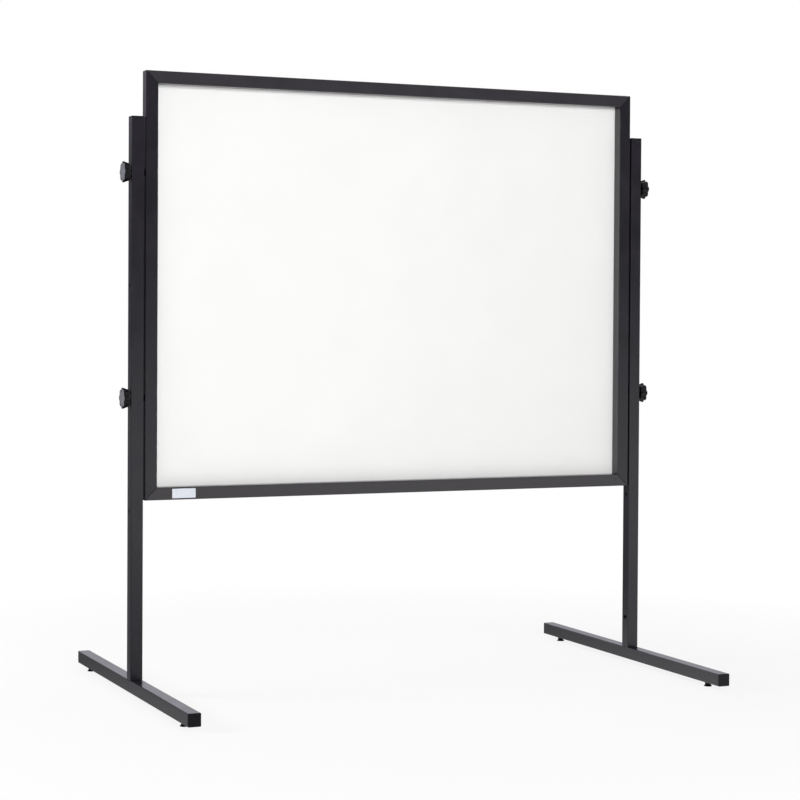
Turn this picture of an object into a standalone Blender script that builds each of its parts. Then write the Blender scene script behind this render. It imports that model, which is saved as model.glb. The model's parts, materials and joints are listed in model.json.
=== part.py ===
"""Free-standing projection screen: a mitred square-tube frame with a white sheet on its back,
hung between two T-shaped stands by four star knobs, on four screw-adjusted levelling glides.

Metres, +Z up. The origin is on the floor under the middle of the screen, X runs along the screen's
width with the left stand at -X, and the viewer stands at -Y.
"""

import math

import bmesh
import bpy
from mathutils import Matrix, Vector

# Square tube, shared by the frame, the posts and the feet
TUBE = 0.030
TUBE_WALL = 0.0015
TUBE_RADIUS = 0.0018
TUBE_ARC_STEPS = 2

# Screen frame
FRAME_WIDTH = 1.300
FRAME_HEIGHT = 1.010
FRAME_BOTTOM = 0.463
MITRE_GAP = 0.0012
CONNECTOR_LEG = 0.070
CONNECTOR_SLOT_WIDTH = 0.010
CONNECTOR_SLOT_END = 0.009

# Projection sheet with a thicker sewn hem, on the back of the frame
SHEET_MARGIN = 0.004
SHEET_THICKNESS = 0.0010
HEM_WIDTH = 0.024
HEM_THICKNESS = 0.0022

# Stands
STILE_GAP = 0.004
POST_TOP_DROP = 0.108
FOOT_LENGTH = 0.910
CAP_FLANGE = 0.0035
CAP_EDGE = 0.0010
CAP_SKIRT = 0.016
CAP_SKIRT_WALL = 0.0020
SPIGOT_HEIGHT = 0.105
SPIGOT_WALL = 0.0020
FOOT_SCREW_RISE = 0.078
FOOT_SCREW_SHANK = 0.006
FOOT_SCREW_HEAD = 0.0105
FOOT_SCREW_HEAD_HEIGHT = 0.0028
FOOT_SCREW_LENGTH = 0.010

# Star knobs on M8 studs, and the holes that they can be moved to
UPPER_KNOB_DROP = 0.239
HOLE_PITCH = 0.265
POST_HOLES = ("upper", "upper_spare", "lower", "lower_spare")
KNOB_ROWS = ("upper", "lower")
THREAD = 0.008
STUD_HOLE = 0.009
KNOB_DIAMETER = 0.050
KNOB_BACK = 0.042
KNOB_HEIGHT = 0.0186
KNOB_RIM_LOW = 0.0030
KNOB_RIM_ROUND = 0.0022
KNOB_HUB = 0.018
KNOB_BORE_DEPTH = 0.010
KNOB_LOBES = 8
SCALLOP_RADIUS = 0.0065
SCALLOP_DEPTH = 0.0036
SCALLOP_LEAN = math.radians(15)
WASHER_DIAMETER = 0.020
WASHER_THICKNESS = 0.0015
SPACER_DIAMETER = 0.016
NUT_BODY = 0.011
NUT_FLANGE = 0.015
NUT_FLANGE_THICKNESS = 0.0008
NUT_BULGE = 0.0145
NUT_BULGE_LENGTH = 0.0032
NUT_LENGTH = 0.014
STUD_REACH = 0.012
STUD_CHAMFER = 0.0008

# Levelling glides in threaded inserts under the feet
GLIDE_INSET = 0.073
GLIDE_HEIGHT = 0.011
PAD_DIAMETER = 0.0195
PAD_NECK = 0.0135
PAD_HEIGHT = 0.0052
PAD_RIM = 0.0016
PAD_FLOOR = 0.0012
STEM_DISC = 0.0100
STEM_DISC_THICKNESS = 0.0016
STEM_NECK = 0.0070
STEM_HEX = 0.013
STEM_LENGTH = 0.024
INSERT_FLANGE = 0.016
INSERT_FLANGE_THICKNESS = 0.0010
INSERT_BODY = 0.011
INSERT_LENGTH = 0.015

# Fits and fineness
CLEARANCE = 0.0003
CUT_MARGIN = 0.002
ROUND_STEPS = 18
HOLE_STEPS = 16
KNOB_STEPS_PER_LOBE = 4
SCALLOP_STEPS = 12
SHARP_ANGLE = math.radians(35)

FRAME_TOP = FRAME_BOTTOM + FRAME_HEIGHT
FRAME_MIDDLE = FRAME_BOTTOM + FRAME_HEIGHT / 2
BORE = TUBE - 2 * TUBE_WALL
BORE_RADIUS = max(TUBE_RADIUS - TUBE_WALL, TUBE_WALL / 8)
PLUG = BORE - 2 * CLEARANCE
POST_X = FRAME_WIDTH / 2 + STILE_GAP + TUBE / 2
FOOT_TOP = GLIDE_HEIGHT + TUBE
POST_BOTTOM = FOOT_TOP + CLEARANCE
POST_TOP = FRAME_TOP - POST_TOP_DROP
UPPER_HOLE = FRAME_TOP - UPPER_KNOB_DROP
HOLE_HEIGHTS = {hole: UPPER_HOLE - step * HOLE_PITCH for step, hole in enumerate(POST_HOLES)}
GLIDE_PLACES = {"front": GLIDE_INSET - FOOT_LENGTH / 2, "rear": FOOT_LENGTH / 2 - GLIDE_INSET}
SIDES = {"left": -1, "right": 1}

for old in list(bpy.data.objects):
    bpy.data.objects.remove(old)

parts = bpy.data.collections.new("projection_screen")
cutters = bpy.data.collections.new("cutters")
bpy.context.scene.collection.children.link(parts)
bpy.context.scene.collection.children.link(cutters)


def linear(hex_colour):
    """Linear RGBA of an sRGB hex colour."""
    values = [int(hex_colour[i : i + 2], 16) / 255 for i in (1, 3, 5)]
    return [v / 12.92 if v <= 0.04045 else ((v + 0.055) / 1.055) ** 2.4 for v in values] + [1.0]


def make_finish(name, colour, roughness, metallic=0.0):
    material = bpy.data.materials.new(name)
    material.use_nodes = True
    shader = material.node_tree.nodes["Principled BSDF"]
    shader.inputs["Base Color"].default_value = linear(colour)
    shader.inputs["Roughness"].default_value = roughness
    shader.inputs["Metallic"].default_value = metallic
    return material


FINISHES = {
    "coated_tube": make_finish("black_powder_coated_steel", "#2b2a2d", 0.42),
    "moulded_plastic": make_finish("black_moulded_plastic", "#1c1c1e", 0.50),
    "zinc_steel": make_finish("zinc_plated_steel", "#b4b6b8", 0.35, 1.0),
    "black_steel": make_finish("black_oxide_steel", "#232325", 0.40, 0.6),
    "screen_sheet": make_finish("matt_white_screen_sheet", "#f5f5f3", 0.90),
    "glide_plastic": make_finish("black_nylon_glide", "#161617", 0.55),
}


def place(name, mesh, finish, parent=None, location=(0, 0, 0), rotation=(0, 0, 0)):
    """A sub-part in the object's collection."""
    part = bpy.data.objects.new(name, mesh)
    part.location = location
    part.rotation_euler = rotation
    part.parent = parent
    mesh.materials.append(FINISHES[finish])
    parts.objects.link(part)
    return part


def empty(name, location):
    """A group's handle, at its reference point."""
    handle = bpy.data.objects.new(name, None)
    handle.location = location
    parts.objects.link(handle)
    return handle


def cut(part, mesh, location=(0, 0, 0), rotation=(0, 0, 0), riding=None, operation="DIFFERENCE"):
    """Cuts the mesh out of the part, or joins it on. A riding cutter is placed in that object's own axes."""
    cutter = bpy.data.objects.new(mesh.name, mesh)
    cutter.location = location
    cutter.rotation_euler = rotation
    cutter.parent = riding
    cutter.hide_render = True
    cutter.display_type = "WIRE"
    cutters.objects.link(cutter)
    boolean = part.modifiers.new(mesh.name, "BOOLEAN")
    boolean.operation = operation
    boolean.solver = "EXACT"
    boolean.object = cutter


def finish_mesh(name, bm):
    mesh = bpy.data.meshes.new(name)
    bm.to_mesh(mesh)
    bm.free()
    return mesh


def bar_mesh(name, length, side, radius):
    """A square bar along X with its four long edges rounded."""
    bm = bmesh.new()
    bmesh.ops.create_cube(bm, size=1.0)
    bmesh.ops.scale(bm, vec=(length, side, side), verts=bm.verts)
    long_edges = [e for e in bm.edges if abs(e.verts[0].co.x - e.verts[1].co.x) > length / 2]
    bmesh.ops.bevel(bm, geom=long_edges, offset=radius, segments=TUBE_ARC_STEPS, profile=0.5, affect="EDGES")
    return finish_mesh(name, bm)


def rod_mesh(name, radius, length, steps=HOLE_STEPS):
    """A cylinder along Z, centred."""
    bm = bmesh.new()
    bmesh.ops.create_cone(bm, cap_ends=True, segments=steps, radius1=radius, radius2=radius, depth=length)
    return finish_mesh(name, bm)


def turned_mesh(name, points, closed=False, steps=ROUND_STEPS):
    """A profile in the XZ plane, turned about Z and shaded smooth but for its sharp edges."""
    edges = [(i, i + 1) for i in range(len(points) - 1)]
    if closed:
        edges.append((len(points) - 1, 0))
    profile = bpy.data.meshes.new(name + "_profile")
    profile.from_pydata([(radius, 0.0, height) for radius, height in points], edges, [])
    blank = bpy.data.objects.new(name + "_blank", profile)
    parts.objects.link(blank)
    screw = blank.modifiers.new("turned", "SCREW")
    screw.axis = "Z"
    screw.steps = steps
    screw.render_steps = steps
    screw.use_merge_vertices = True
    screw.merge_threshold = 0.00001
    turned = blank.evaluated_get(bpy.context.evaluated_depsgraph_get())
    mesh = bpy.data.meshes.new_from_object(turned)
    bpy.data.objects.remove(blank)
    mesh.name = name
    mesh.shade_smooth()
    mesh.set_sharp_from_angle(angle=SHARP_ANGLE)
    return mesh


def square_tube(name, length, parent, location, rotation):
    """A length of the shared tube, along its own X axis, open at both ends."""
    tube = place(name, bar_mesh(name, length, TUBE, TUBE_RADIUS), "coated_tube", parent, location, rotation)
    cut(tube, bar_mesh(name + "_bore", length + 2 * CUT_MARGIN, BORE, BORE_RADIUS), riding=tube)
    return tube


def push(bm, face, inset, travel):
    """Insets a face, pushes the inner face along its own normal, and returns that face."""
    bmesh.ops.inset_region(bm, faces=[face], thickness=inset, use_even_offset=True)
    step = face.normal * travel
    pushed = bmesh.ops.extrude_discrete_faces(bm, faces=[face])["faces"][0]
    bmesh.ops.translate(bm, vec=step, verts=pushed.verts)
    return pushed


def facing(bm, direction):
    bm.normal_update()
    bm.faces.ensure_lookup_table()
    return max(bm.faces, key=lambda face: face.normal.dot(Vector(direction)))


def end_cap(name, parent, location, rotation):
    """A push-in tube cap: a flange over the tube's end, and a hollow skirt that grips the bore.

    The flange's inner face is at the cap's origin, and the cap faces its own +Z.
    """
    bm = bmesh.new()
    bmesh.ops.create_cube(bm, size=1.0)
    bmesh.ops.scale(bm, vec=(TUBE, TUBE, CAP_FLANGE), verts=bm.verts)
    bmesh.ops.translate(bm, vec=(0, 0, CAP_FLANGE / 2), verts=bm.verts)
    upright = [e for e in bm.edges if abs(e.verts[0].co.z - e.verts[1].co.z) > CAP_FLANGE / 2]
    bmesh.ops.bevel(bm, geom=upright, offset=TUBE_RADIUS, segments=TUBE_ARC_STEPS, profile=0.5, affect="EDGES")
    rim = facing(bm, (0, 0, 1)).edges[:]
    bmesh.ops.bevel(bm, geom=rim, offset=CAP_EDGE, segments=TUBE_ARC_STEPS, profile=0.5, affect="EDGES")
    cap = place(name, finish_mesh(name, bm), "moulded_plastic", parent, location, rotation)
    upright_turn = (0, math.pi / 2, 0)
    rooted = CAP_FLANGE / 2
    skirt = bar_mesh(name + "_skirt", CAP_SKIRT + rooted, PLUG, BORE_RADIUS)
    cut(cap, skirt, (0, 0, (rooted - CAP_SKIRT) / 2), upright_turn, riding=cap, operation="UNION")
    pocket = bar_mesh(name + "_pocket", CAP_SKIRT + CUT_MARGIN, PLUG - 2 * CAP_SKIRT_WALL, BORE_RADIUS)
    cut(cap, pocket, (0, 0, -(CAP_SKIRT + CUT_MARGIN) / 2), upright_turn, riding=cap)


def mitred_rail(name, length, parent, location, turn_angle):
    """A frame tube along its own X with its outer side at +Z, mitred at both ends."""
    rail = square_tube(name, length, parent, location, (0, turn_angle, 0))
    block = 3 * TUBE
    half = block / 2 - MITRE_GAP / 2
    for end, way in (("start", -1), ("end", 1)):
        corner = Vector((way * length / 2, 0, TUBE / 2))
        outward = Vector((way, 0, -1)).normalized()
        wedge = bar_mesh(f"{name}_mitre_{end}", block, block, TUBE_RADIUS)
        cut(rail, wedge, corner + outward * half, (0, way * math.pi / 4, 0), riding=rail)
    return rail


def outline(curve, points):
    spline = curve.splines.new("POLY")
    spline.points.add(len(points) - 1)
    spline.use_cyclic_u = True
    for point, (x, y) in zip(spline.points, points):
        point.co = (x, y, 0, 1)


def corner_connector(name, parent, location, rotation):
    """An L-shaped key that plugs into two mitred tubes, with a lightening slot along each leg.

    Its own origin is the outer corner of the key, and its legs run along its +X and +Y.
    """
    curve = bpy.data.curves.new(name, "CURVE")
    curve.dimensions = "2D"
    curve.fill_mode = "BOTH"
    curve.extrude = PLUG / 2
    leg = CONNECTOR_LEG
    outline(curve, [(0, 0), (leg, 0), (leg, PLUG), (PLUG, PLUG), (PLUG, leg), (0, leg)])
    low = (PLUG - CONNECTOR_SLOT_WIDTH) / 2
    high = low + CONNECTOR_SLOT_WIDTH
    near = PLUG + CONNECTOR_SLOT_END
    far = leg - CONNECTOR_SLOT_END
    outline(curve, [(near, low), (far, low), (far, high), (near, high)])
    outline(curve, [(low, near), (high, near), (high, far), (low, far)])
    return place(name, curve, "moulded_plastic", parent, location, rotation)


def build_frame():
    frame = empty("screen_frame", (0, 0, FRAME_MIDDLE))
    across = FRAME_WIDTH / 2
    up = FRAME_HEIGHT / 2
    centre_line = TUBE / 2
    quarter = math.pi / 2
    mitred_rail("frame_top_rail", FRAME_WIDTH, frame, (0, 0, up - centre_line), 0)
    mitred_rail("frame_bottom_rail", FRAME_WIDTH, frame, (0, 0, centre_line - up), 2 * quarter)
    for side, way in SIDES.items():
        stile = mitred_rail(
            f"frame_{side}_stile", FRAME_HEIGHT, frame, (way * (across - centre_line), 0, 0), way * quarter
        )
        for row in KNOB_ROWS:
            hole = rod_mesh(f"{side}_{row}_nut_hole", NUT_BODY / 2 + CLEARANCE, TUBE)
            cut(stile, hole, (way * across, 0, HOLE_HEIGHTS[row]), (0, quarter, 0))
        for level, rise in (("top", 1), ("bottom", -1)):
            seat = TUBE_WALL + CLEARANCE
            corner = (way * (across - seat), 0, rise * (up - seat))
            # The key's plane is turned upright, and then round so that its legs point inwards.
            roll = {(-1, -1): 0, (1, -1): -quarter, (1, 1): 2 * quarter, (-1, 1): quarter}[(way, rise)]
            corner_connector(f"frame_connector_{level}_{side}", frame, corner, (quarter, roll, 0))
    build_sheet(frame)


def build_sheet(frame):
    """A plain sheet whose hem is thicker on the rear, clear of the frame's back by the usual gap."""
    width = FRAME_WIDTH - 2 * SHEET_MARGIN
    height = FRAME_HEIGHT - 2 * SHEET_MARGIN
    bm = bmesh.new()
    bmesh.ops.create_cube(bm, size=1.0)
    bmesh.ops.scale(bm, vec=(width, HEM_THICKNESS, height), verts=bm.verts)
    bmesh.ops.translate(bm, vec=(0, HEM_THICKNESS / 2, 0), verts=bm.verts)
    push(bm, facing(bm, (0, 1, 0)), HEM_WIDTH, SHEET_THICKNESS - HEM_THICKNESS)
    place(
        "projection_sheet",
        finish_mesh("projection_sheet", bm),
        "screen_sheet",
        frame,
        (0, TUBE / 2 + CLEARANCE, 0),
    )


def build_foot(side, stand):
    """The foot bar with its end caps, and the spigot and screw that hold the post."""
    way = SIDES[side]
    quarter = math.pi / 2
    foot_middle = GLIDE_HEIGHT + TUBE / 2
    bar_length = FOOT_LENGTH - 2 * (CAP_FLANGE + CLEARANCE)
    foot = square_tube(f"{side}_foot_bar", bar_length, stand, (0, 0, foot_middle), (0, 0, quarter))
    for place_name, y in GLIDE_PLACES.items():
        hole = rod_mesh(f"{side}_{place_name}_insert_hole", INSERT_BODY / 2 + CLEARANCE, TUBE)
        cut(foot, hole, (way * POST_X, y, GLIDE_HEIGHT))
    cap_seat = bar_length / 2 + CLEARANCE
    end_cap(f"{side}_foot_cap_front", stand, (0, -cap_seat, foot_middle), (quarter, 0, 0))
    end_cap(f"{side}_foot_cap_rear", stand, (0, cap_seat, foot_middle), (-quarter, 0, 0))

    spigot_name = f"{side}_foot_spigot"
    spigot_middle = POST_BOTTOM + SPIGOT_HEIGHT / 2
    spigot = place(
        spigot_name,
        bar_mesh(spigot_name, SPIGOT_HEIGHT, PLUG, BORE_RADIUS),
        "coated_tube",
        stand,
        (0, 0, spigot_middle),
        (0, quarter, 0),
    )
    spigot_bore = bar_mesh(
        spigot_name + "_bore", SPIGOT_HEIGHT + 2 * CUT_MARGIN, PLUG - 2 * SPIGOT_WALL, BORE_RADIUS
    )
    cut(spigot, spigot_bore, riding=spigot)
    screw_height = FOOT_TOP + FOOT_SCREW_RISE
    screw_hole = rod_mesh(spigot_name + "_screw_hole", FOOT_SCREW_SHANK / 2 + CLEARANCE, TUBE)
    cut(spigot, screw_hole, (way * (POST_X - TUBE / 2), 0, screw_height), (0, quarter, 0))

    head = FOOT_SCREW_HEAD / 2
    shank = FOOT_SCREW_SHANK / 2
    crown = CLEARANCE + FOOT_SCREW_HEAD_HEIGHT
    socket = FOOT_SCREW_HEAD / 5
    socket_floor = CLEARANCE + FOOT_SCREW_HEAD_HEIGHT / 3
    screw_profile = [
        (0, socket_floor),
        (socket, socket_floor),
        (socket, crown),
        (head * 0.62, crown - 0.08 * FOOT_SCREW_HEAD_HEIGHT),
        (head * 0.9, CLEARANCE + FOOT_SCREW_HEAD_HEIGHT / 2),
        (head, CLEARANCE),
        (shank, CLEARANCE),
        (shank, -FOOT_SCREW_LENGTH),
        (0, -FOOT_SCREW_LENGTH),
    ]
    screw_name = f"{side}_foot_screw"
    place(
        screw_name,
        turned_mesh(screw_name, screw_profile),
        "black_steel",
        stand,
        (-way * TUBE / 2, 0, screw_height),
        (0, -way * quarter, 0),
    )


def build_post(side, stand):
    way = SIDES[side]
    quarter = math.pi / 2
    tube_top = POST_TOP - CAP_FLANGE - CLEARANCE
    length = tube_top - POST_BOTTOM
    post = square_tube(
        f"{side}_post", length, stand, (0, 0, (tube_top + POST_BOTTOM) / 2), (0, quarter, 0)
    )
    for hole_name, height in HOLE_HEIGHTS.items():
        hole = rod_mesh(f"{side}_{hole_name}_hole", STUD_HOLE / 2, TUBE + 2 * CUT_MARGIN)
        cut(post, hole, (way * POST_X, 0, height), (0, quarter, 0))
    screw_hole = rod_mesh(f"{side}_post_screw_hole", FOOT_SCREW_SHANK / 2 + CLEARANCE, TUBE)
    cut(post, screw_hole, (way * (POST_X - TUBE / 2), 0, FOOT_TOP + FOOT_SCREW_RISE), (0, quarter, 0))
    end_cap(f"{side}_post_cap", stand, (0, 0, tube_top + CLEARANCE), (0, 0, 0))


def star_knob(name, stand, location, rotation):
    """A lobed clamping knob: a turned head and hub with a ring of scallops cut from its rim."""
    rim = KNOB_DIAMETER / 2
    back = KNOB_BACK / 2
    low = KNOB_RIM_LOW
    top = KNOB_HEIGHT
    edge = KNOB_RIM_ROUND
    hub = KNOB_HUB / 2
    foot = WASHER_THICKNESS + 2 * CLEARANCE
    bore = THREAD / 2 + CLEARANCE
    bore_top = foot + KNOB_BORE_DEPTH
    widest = top - 2 * edge
    head_profile = [
        (0, top),
        (rim - edge, top - 0.35 * edge),
        (rim - 0.35 * edge, top - 0.9 * edge),
        (rim, widest),
        (back, low + edge),
        (back - 0.3 * edge, low + 0.3 * edge),
        (back - edge, low),
        (hub, low),
        (hub, foot),
        (bore, foot),
        (bore, bore_top),
        (0, bore_top),
    ]
    head = turned_mesh(name, head_profile, steps=KNOB_LOBES * KNOB_STEPS_PER_LOBE)
    knob = place(name, head, "moulded_plastic", stand, location, rotation)
    reach = rim - SCALLOP_DEPTH + SCALLOP_RADIUS / math.cos(SCALLOP_LEAN)
    lean = Matrix.Rotation(SCALLOP_LEAN, 4, "Y")
    bm = bmesh.new()
    for lobe in range(KNOB_LOBES):
        around = Matrix.Rotation((lobe + 0.5) * 2 * math.pi / KNOB_LOBES, 4, "Z")
        bmesh.ops.create_cone(
            bm,
            cap_ends=True,
            segments=SCALLOP_STEPS,
            radius1=SCALLOP_RADIUS,
            radius2=SCALLOP_RADIUS,
            depth=3 * KNOB_HEIGHT,
            matrix=around @ Matrix.Translation((reach, 0, widest)) @ lean,
        )
    cut(knob, finish_mesh(name + "_scallops", bm), riding=knob)


def ring(name, finish, outer, inner, low, high, parent, location, rotation):
    """A turned ring between two heights along its own Z."""
    profile = [(outer, high), (outer, low), (inner, low), (inner, high)]
    place(name, turned_mesh(name, profile, closed=True), finish, parent, location, rotation)


def build_clamp(side, row, stand):
    """One star knob with its stud, washer and spacer, and the rivet nut in the stile that it screws into."""
    way = SIDES[side]
    outward = (0, way * math.pi / 2, 0)
    height = HOLE_HEIGHTS[row]
    name = f"{side}_{row}"
    outer_face = (way * TUBE / 2, 0, height)
    inner_face = (-way * TUBE / 2, 0, height)
    stile_face = (-way * (TUBE / 2 + STILE_GAP), 0, height)
    thread = THREAD / 2
    bore = thread + CLEARANCE

    star_knob(f"{name}_knob", stand, outer_face, outward)
    ring(
        f"{name}_washer",
        "zinc_steel",
        WASHER_DIAMETER / 2,
        bore,
        CLEARANCE,
        CLEARANCE + WASHER_THICKNESS,
        stand,
        outer_face,
        outward,
    )

    stud_top = WASHER_THICKNESS + CLEARANCE + KNOB_BORE_DEPTH
    stud_end = -(TUBE + STILE_GAP + STUD_REACH)
    stud_profile = [
        (0, stud_top),
        (thread, stud_top),
        (thread, stud_end + STUD_CHAMFER),
        (thread - STUD_CHAMFER, stud_end),
        (0, stud_end),
    ]
    place(f"{name}_stud", turned_mesh(f"{name}_stud", stud_profile), "zinc_steel", stand, outer_face, outward)

    spacer_thickness = STILE_GAP - NUT_FLANGE_THICKNESS - 3 * CLEARANCE
    ring(
        f"{name}_spacer",
        "moulded_plastic",
        SPACER_DIAMETER / 2,
        STUD_HOLE / 2,
        -CLEARANCE - spacer_thickness,
        -CLEARANCE,
        stand,
        inner_face,
        outward,
    )

    body = NUT_BODY / 2
    flange = NUT_FLANGE / 2
    bulge = NUT_BULGE / 2
    behind = -TUBE_WALL - CLEARANCE
    nut_profile = [
        (flange, CLEARANCE + NUT_FLANGE_THICKNESS),
        (flange, CLEARANCE),
        (body, CLEARANCE),
        (body, behind),
        (bulge, behind - 0.15 * NUT_BULGE_LENGTH),
        (bulge, behind - 0.5 * NUT_BULGE_LENGTH),
        (body, behind - NUT_BULGE_LENGTH),
        (body, -NUT_LENGTH),
        (bore, -NUT_LENGTH),
        (bore, CLEARANCE + NUT_FLANGE_THICKNESS),
    ]
    nut = turned_mesh(f"{name}_rivet_nut", nut_profile, closed=True)
    place(f"{name}_rivet_nut", nut, "black_steel", stand, stile_face, outward)


def build_glide(side, place_name, stand):
    """A levelling glide: a nylon pad that swivels on a threaded stem, and the insert in the foot."""
    y = GLIDE_PLACES[place_name]
    name = f"{side}_{place_name}"
    thread = THREAD / 2
    bore = thread + CLEARANCE

    pad = PAD_DIAMETER / 2
    neck = PAD_NECK / 2
    disc = STEM_DISC / 2
    stem_neck = STEM_NECK / 2
    disc_low = PAD_FLOOR + CLEARANCE
    disc_high = disc_low + STEM_DISC_THICKNESS
    pad_profile = [
        (neck, PAD_HEIGHT),
        (neck, PAD_HEIGHT - 0.25 * PAD_RIM),
        (0.5 * (pad + neck), 1.5 * PAD_RIM),
        (pad, PAD_RIM),
        (pad, 0.2 * PAD_RIM),
        (pad - 0.2 * PAD_RIM, 0),
        (0, 0),
    ]
    socket_profile = [
        (0, PAD_FLOOR),
        (disc + CLEARANCE, PAD_FLOOR),
        (disc + CLEARANCE, disc_high + CLEARANCE),
        (stem_neck + CLEARANCE, disc_high + CLEARANCE),
        (stem_neck + CLEARANCE, PAD_HEIGHT),
    ]
    glide = turned_mesh(f"{name}_glide_pad", socket_profile + pad_profile)
    place(f"{name}_glide_pad", glide, "glide_plastic", stand, (0, y, 0))

    hex_low = PAD_HEIGHT + CLEARANCE
    hex_high = GLIDE_HEIGHT - INSERT_FLANGE_THICKNESS - 2 * CLEARANCE
    stem_top = GLIDE_HEIGHT + STEM_LENGTH
    stem_profile = [
        (0, stem_top),
        (thread - STUD_CHAMFER, stem_top),
        (thread, stem_top - STUD_CHAMFER),
        (thread, (hex_low + hex_high) / 2),
        (stem_neck, (hex_low + hex_high) / 2),
        (stem_neck, disc_high),
        (disc, disc_high),
        (disc, disc_low),
        (0, disc_low),
    ]
    shank = turned_mesh(f"{name}_glide_stem", stem_profile)
    stem = place(f"{name}_glide_stem", shank, "black_steel", stand, (0, y, 0))
    collar = rod_mesh(f"{name}_stem_hexagon", STEM_HEX / math.sqrt(3), hex_high - hex_low, 6)
    cut(stem, collar, (0, 0, (hex_low + hex_high) / 2), riding=stem, operation="UNION")

    flange = INSERT_FLANGE / 2
    body = INSERT_BODY / 2
    flange_low = GLIDE_HEIGHT - CLEARANCE - INSERT_FLANGE_THICKNESS
    insert_profile = [
        (body, GLIDE_HEIGHT + INSERT_LENGTH),
        (body, GLIDE_HEIGHT - CLEARANCE),
        (flange, GLIDE_HEIGHT - CLEARANCE),
        (flange, flange_low),
        (bore, flange_low),
        (bore, GLIDE_HEIGHT + INSERT_LENGTH),
    ]
    insert = turned_mesh(f"{name}_glide_insert", insert_profile, closed=True)
    place(f"{name}_glide_insert", insert, "black_steel", stand, (0, y, 0))


def build_stand(side):
    stand = empty(f"{side}_stand", (SIDES[side] * POST_X, 0, 0))
    build_foot(side, stand)
    build_post(side, stand)
    for row in KNOB_ROWS:
        build_clamp(side, row, stand)
    for place_name in GLIDE_PLACES:
        build_glide(side, place_name, stand)


build_frame()
for stand_side in SIDES:
    build_stand(stand_side)
bpy.context.view_layer.update()
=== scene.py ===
# %% [markdown]
# # A projection screen on two stands
# The object is a white sheet in a black square-tube frame. Star knobs clamp the frame between two
# posts, and each post stands on a long foot with levelling glides. The tubes, caps, washers and
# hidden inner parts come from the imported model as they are, and only get their finishes here. The
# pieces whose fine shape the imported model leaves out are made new: the knobs, the threads, the
# glides, the foot screws, the cloth with its hem and fasteners, and a blank plate.

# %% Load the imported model
import json
import math

import bpy
from mathutils import Matrix, Vector


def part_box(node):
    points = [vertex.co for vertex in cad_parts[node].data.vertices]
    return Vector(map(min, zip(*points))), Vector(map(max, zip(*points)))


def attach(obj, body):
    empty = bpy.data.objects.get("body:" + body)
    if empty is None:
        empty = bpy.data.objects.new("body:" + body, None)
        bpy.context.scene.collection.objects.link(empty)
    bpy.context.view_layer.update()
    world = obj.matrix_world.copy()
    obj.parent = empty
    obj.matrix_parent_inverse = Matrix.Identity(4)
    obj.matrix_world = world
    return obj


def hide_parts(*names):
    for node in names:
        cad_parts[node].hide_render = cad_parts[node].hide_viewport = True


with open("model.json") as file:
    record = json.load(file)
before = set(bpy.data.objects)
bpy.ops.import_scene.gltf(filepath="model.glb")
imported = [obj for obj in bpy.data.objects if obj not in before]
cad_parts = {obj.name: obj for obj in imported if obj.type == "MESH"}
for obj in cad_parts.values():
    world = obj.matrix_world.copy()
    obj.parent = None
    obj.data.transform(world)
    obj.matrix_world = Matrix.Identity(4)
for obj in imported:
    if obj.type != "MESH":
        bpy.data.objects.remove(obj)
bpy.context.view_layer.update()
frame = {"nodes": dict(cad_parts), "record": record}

nodes = frame["nodes"]
slot_of = {entry["node"]: entry["material_slot"] for entry in frame["record"]["subparts"]}

# %% [markdown]
# ## Two helpers for finishes
# Colours are easiest to read off a picture as sRGB hex values, but a shader counts in linear light,
# so one function turns the first into the second. A second function adds a shader node, sets its
# options and fills its sockets with numbers or with links, which keeps each finish short enough to
# read as a recipe.

# %% Colours and nodes
def linear(hex_colour):
    """An sRGB hex colour as linear red, green and blue, with full opacity."""
    values = [int(hex_colour[i : i + 2], 16) / 255 for i in (1, 3, 5)]
    return [v / 12.92 if v <= 0.04045 else ((v + 0.055) / 1.055) ** 2.4 for v in values] + [1.0]


def add(tree, kind, sockets=None, **settings):
    """A new node in a tree, with its options set and its sockets filled."""
    node = tree.nodes.new(kind)
    for name, value in settings.items():
        setattr(node, name, value)
    for socket, value in (sockets or {}).items():
        if isinstance(value, bpy.types.NodeSocket):
            tree.links.new(value, node.inputs[socket])
        else:
            node.inputs[socket].default_value = value
    return node


print("half grey is", round(linear("#808080")[0], 3), "in linear light")

# %% [markdown]
# ## Powder coat on steel tube
# The tubes are coated with black powder that melts and flows in an oven. It leaves a satin skin with
# a slight orange peel, lumps a millimetre or two across and a few hundredths deep. The colour is a
# nearly neutral black with a hint of violet. On the two rails it is painted a little greyer: painted
# light, for the brighter reflections that the level tubes catch. A plain grey value would look like
# plastic, so the colour and the gloss drift a little along the tube, and the peel is a very shallow
# relief. The coordinates are the object's own, in metres, so that the grain has its real size on
# every piece.

# %% Powder coat
PEEL_WIDTH = 0.0020  # the real peel is about 1.5 mm across; a little coarser here, so that it shows
PEEL_DEPTH = 0.000025
DRIFT_WIDTH = 0.060  # patches where the powder lay thicker
COAT_ROUGHNESS = (0.16, 0.30)
COAT_IOR = 1.6


def finish(name, constants):
    """A new material, its tree, its Principled shader with the values that are the same all over,
    and the coordinates of the surface in metres."""
    material = bpy.data.materials.new(name)
    material.use_nodes = True
    tree = material.node_tree
    shader = tree.nodes["Principled BSDF"]
    for socket, value in constants.items():
        shader.inputs[socket].default_value = value
    return material, tree, shader, add(tree, "ShaderNodeTexCoord").outputs["Object"]


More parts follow.
